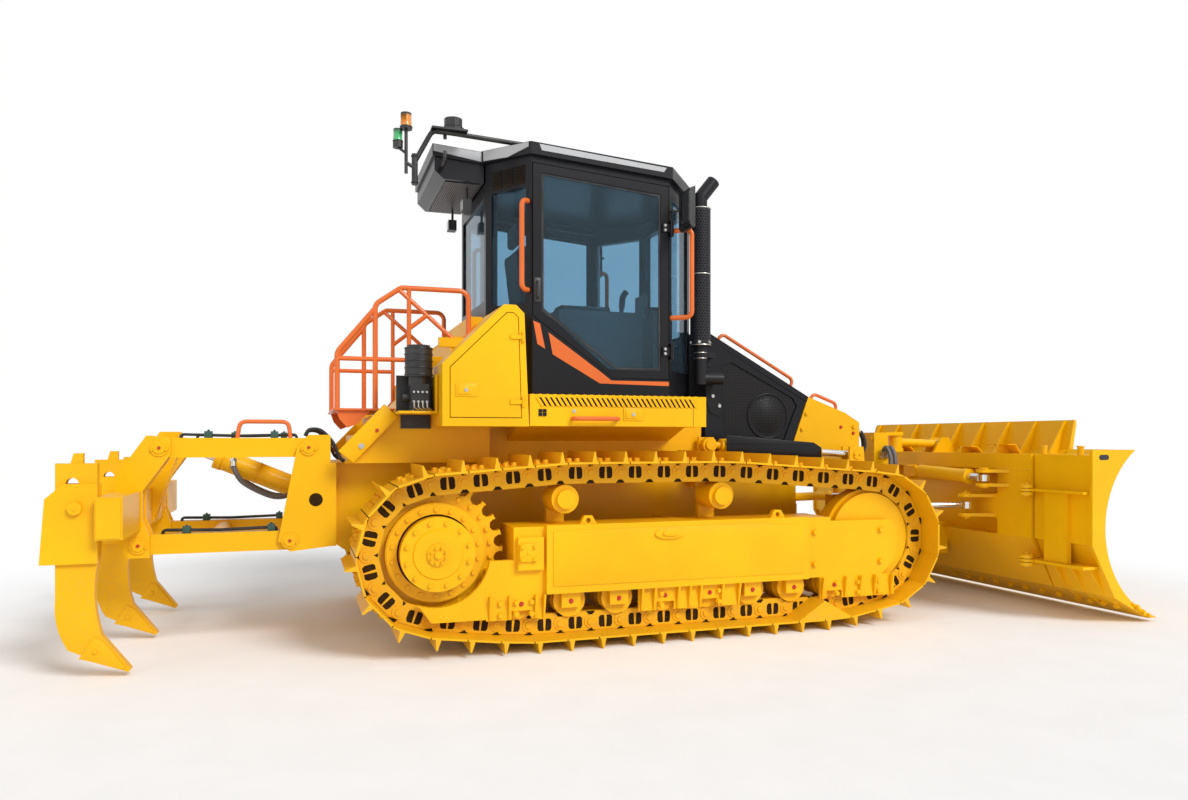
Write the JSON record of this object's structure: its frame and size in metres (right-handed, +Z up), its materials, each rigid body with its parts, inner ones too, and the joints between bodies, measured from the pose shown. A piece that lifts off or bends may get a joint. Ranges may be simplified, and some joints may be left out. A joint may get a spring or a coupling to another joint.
{
  "type": "crawler dozer with power-angle blade and ripper",
  "caption": "Crawler dozer with an enclosed cab, a lifting, angling and tilting blade with folding ends, and a parallelogram ripper.",
  "frame": {"origin": "on the ground under the middle of the whole machine, at the grouser tips", "axes": "+X to the front (the blade), +Y to the left-hand side, +Z up"},
  "size_m": [7.1, 3.45, 3.415],
  "materials": {
    "yellow_paint": "gloss paint",
    "black_paint": "satin paint",
    "orange_paint": "gloss paint",
    "tinted_glass": "tinted",
    "seat_fabric": "woven",
    "grey_plastic": "moulded grain",
    "cast_iron": "cast",
    "chrome": "polished",
    "black_plastic": "moulded"
  },
  "bodies": {
    "chassis": {"air_conditioner": "black_paint", "cab_base": "yellow_paint", "cab_frame": "black_paint", "cab_glass": "tinted_glass", "cab_roof": "black_paint", "cabinets": "yellow_paint", "carrier_rollers": "yellow_paint", "consoles": "grey_plastic", "engine": "cast_iron", "engine_side_panels": "black_paint", "exhaust_stack": "black_paint", "final_drives": "yellow_paint", "front_grille": "black_paint", "front_idlers": "yellow_paint", "grease_pump": "black_plastic", "hood": "black_paint", "lamps_and_mirrors": "black_plastic", "lift_brackets": "yellow_paint", "main_frame": "yellow_paint", "nose": "yellow_paint", "rear_body": "yellow_paint", "rear_rails": "orange_paint", "ripper_mount": "yellow_paint", "seat": "seat_fabric", "track_frame_left": "yellow_paint", "track_frame_right": "yellow_paint", "track_left": "yellow_paint", "track_right": "yellow_paint", "track_rollers": "yellow_paint", "walkways": "yellow_paint"},
    "c_frame": {"c_frame": "yellow_paint", "c_frame_brackets": "yellow_paint"},
    "swivel": {"swivel": "yellow_paint"},
    "pitch_link": {"pitch_link": "yellow_paint"},
    "blade": {"blade": "yellow_paint", "blade_lugs": "yellow_paint"},
    "blade_wing_right": {"blade_wing_right": "yellow_paint"},
    "blade_wing_left": {"blade_wing_left": "yellow_paint"},
    "tilt_barrel": {"tilt_barrel": "yellow_paint"},
    "lift_barrels": {"lift_barrels": "yellow_paint"},
    "lift_rods": {"lift_rods": "chrome"},
    "tilt_rod": {"tilt_rod": "chrome"},
    "ripper_lower_arm": {"ripper_lower_arm": "yellow_paint"},
    "ripper_upper_link": {"ripper_upper_link": "yellow_paint"},
    "ripper_toolbar": {"ripper_toolbar": "yellow_paint", "ripper_shanks": "yellow_paint"},
    "ripper_barrel": {"ripper_barrel": "yellow_paint"},
    "ripper_rod": {"ripper_rod": "chrome"},
    "door_right": {"door_right": "black_paint", "door_glass_right": "tinted_glass"},
    "cabinet_door_right": {"cabinet_door_right": "yellow_paint"},
    "angle_right_yoke": {"angle_right_yoke": "yellow_paint"},
    "angle_right_barrel": {"angle_right_barrel": "yellow_paint"},
    "angle_right_rod": {"angle_right_rod": "chrome"},
    "door_left": {"door_left": "black_paint", "door_glass_left": "tinted_glass"},
    "cabinet_door_left": {"cabinet_door_left": "yellow_paint"},
    "angle_left_yoke": {"angle_left_yoke": "yellow_paint"},
    "angle_left_barrel": {"angle_left_barrel": "yellow_paint"},
    "angle_left_rod": {"angle_left_rod": "chrome"}
  },
  "joints": [
    {"name": "blade_lift", "type": "hinge", "parent": "chassis", "child": "c_frame", "pos_m": [-0.05, 0, 0.45], "axis": [0, -1, 0], "range_deg": [-8, 17.5]},
    {"name": "lift_barrel_swing", "type": "hinge", "parent": "chassis", "child": "lift_barrels", "pos_m": [0.577, 0, 1.262], "axis": [0, -1, 0], "range_deg": [-13.36, 28.64]},
    {"name": "lift_rod_stroke", "type": "slide", "parent": "lift_barrels", "child": "lift_rods", "axis": [0.9981, 0, -0.0623], "range_m": [-0.22784, 0.10524]},
    {"name": "blade_angle", "type": "hinge", "parent": "c_frame", "child": "swivel", "pos_m": [2.655, 0, 0.45], "axis": [0, 0, 1], "range_deg": [-25, 25]},
    {"name": "blade_tilt", "type": "hinge", "parent": "swivel", "child": "blade", "pos_m": [2.655, 0, 0.45], "axis": [1, 0, 0], "range_deg": [-7, 7]},
    {"name": "pitch_link_swing", "type": "hinge", "parent": "swivel", "child": "pitch_link", "pos_m": [2.655, 0, 1.28], "axis": [0, 0, 1], "range_deg": [-12.72, 12.72]},
    {"name": "angle_right_yaw", "type": "hinge", "parent": "c_frame", "child": "angle_right_yoke", "pos_m": [1.78, -0.524, 0.78], "axis": [0, 0, 1], "range_deg": [-5.72, 5.72]},
    {"name": "angle_right_pitch", "type": "hinge", "parent": "angle_right_yoke", "child": "angle_right_barrel", "pos_m": [1.78, -0.524, 0.78], "axis": [0.1727, 0.985, 0], "range_deg": [-5.31, 5.31]},
    {"name": "angle_right_stroke", "type": "slide", "parent": "angle_right_barrel", "child": "angle_right_rod", "axis": [0.985, -0.1727, 0], "range_m": [-0.29044, 0.29044]},
    {"name": "angle_left_yaw", "type": "hinge", "parent": "c_frame", "child": "angle_left_yoke", "pos_m": [1.78, 0.524, 0.78], "axis": [0, 0, 1], "range_deg": [-5.72, 5.72]},
    {"name": "angle_left_pitch", "type": "hinge", "parent": "angle_left_yoke", "child": "angle_left_barrel", "pos_m": [1.78, 0.524, 0.78], "axis": [-0.1727, 0.985, 0], "range_deg": [-5.31, 5.31]},
    {"name": "angle_left_stroke", "type": "slide", "parent": "angle_left_barrel", "child": "angle_left_rod", "axis": [0.985, 0.1727, 0], "range_m": [-0.29044, 0.29044]},
    {"name": "tilt_swing", "type": "hinge", "parent": "swivel", "child": "tilt_barrel", "pos_m": [2.815, -0.075, 1.03], "axis": [1, 0, 0], "range_deg": [-8, 8]},
    {"name": "tilt_stroke", "type": "slide", "parent": "tilt_barrel", "child": "tilt_rod", "axis": [0.0196, -0.999, -0.0392], "range_m": [-0.07301, 0.07301]},
    {"name": "right_wing_fold", "type": "hinge", "parent": "blade", "child": "blade_wing_right", "pos_m": [2.892, -1.2, 0.6], "axis": [0, 0, -1], "range_deg": [0, 60]},
    {"name": "left_wing_fold", "type": "hinge", "parent": "blade", "child": "blade_wing_left", "pos_m": [2.892, 1.2, 0.6], "axis": [0, 0, -1], "range_deg": [-60, 0]},
    {"name": "ripper_lift", "type": "hinge", "parent": "chassis", "child": "ripper_lower_arm", "pos_m": [-2.31, 0, 0.665], "axis": [0, 1, 0], "range_deg": [-30, 25]},
    {"name": "ripper_toolbar_level", "type": "hinge", "parent": "ripper_lower_arm", "child": "ripper_toolbar", "pos_m": [-3.163, 0, 0.665], "axis": [0, 1, 0], "range_deg": [-25.5, 30.5]},
    {"name": "ripper_upper_swing", "type": "hinge", "parent": "chassis", "child": "ripper_upper_link", "pos_m": [-2.197, 0, 1.249], "axis": [0, 1, 0], "range_deg": [-30.5, 25.5]},
    {"name": "ripper_cylinder_swing", "type": "hinge", "parent": "chassis", "child": "ripper_barrel", "pos_m": [-2.135, 0, 0.91], "axis": [0, 1, 0], "range_deg": [-24.79, 20.74]},
    {"name": "ripper_cylinder_stroke", "type": "slide", "parent": "ripper_barrel", "child": "ripper_rod", "axis": [-0.9199, 0, 0.3921], "range_m": [-0.1803, 0.15059]},
    {"name": "right_door", "type": "hinge", "parent": "chassis", "child": "door_right", "pos_m": [0.175, -0.818, 2.4], "axis": [0, 0, 1], "range_deg": [0, 85]},
    {"name": "right_cabinet_door", "type": "hinge", "parent": "chassis", "child": "cabinet_door_right", "pos_m": [-0.95, -1.11, 1.7], "axis": [0, 0, 1], "range_deg": [0, 110]},
    {"name": "left_door", "type": "hinge", "parent": "chassis", "child": "door_left", "pos_m": [0.175, 0.818, 2.4], "axis": [0, 0, -1], "range_deg": [0, 85]},
    {"name": "left_cabinet_door", "type": "hinge", "parent": "chassis", "child": "cabinet_door_left", "pos_m": [-0.95, 1.11, 1.7], "axis": [0, 0, -1], "range_deg": [0, 110]}
  ],
  "couplings": [
    {"joint": "lift_barrel_swing", "follows": "blade_lift", "ratio": 1.6077},
    {"joint": "lift_rod_stroke", "follows": "blade_lift", "m_per_rad": -0.73942},
    {"joint": "pitch_link_swing", "follows": "blade_tilt", "ratio": -1.7462},
    {"joint": "angle_right_yaw", "follows": "blade_angle", "ratio": 0.20888},
    {"joint": "angle_right_pitch", "follows": "blade_tilt", "ratio": 0.68674},
    {"joint": "angle_right_stroke", "follows": "blade_angle", "m_per_rad": 0.66105},
    {"joint": "angle_left_yaw", "follows": "blade_angle", "ratio": 0.20888},
    {"joint": "angle_left_pitch", "follows": "blade_tilt", "ratio": -0.68674},
    {"joint": "angle_left_stroke", "follows": "blade_angle", "m_per_rad": -0.66105},
    {"joint": "tilt_swing", "follows": "blade_tilt", "ratio": 1.0712},
    {"joint": "tilt_stroke", "follows": "blade_tilt", "m_per_rad": 0.58127},
    {"joint": "ripper_toolbar_level", "follows": "ripper_lift", "ratio": -1},
    {"joint": "ripper_upper_swing", "follows": "ripper_lift", "ratio": 1},
    {"joint": "ripper_cylinder_swing", "follows": "ripper_lift", "ratio": 0.80971},
    {"joint": "ripper_cylinder_stroke", "follows": "ripper_lift", "m_per_rad": 0.34054}
  ]
}
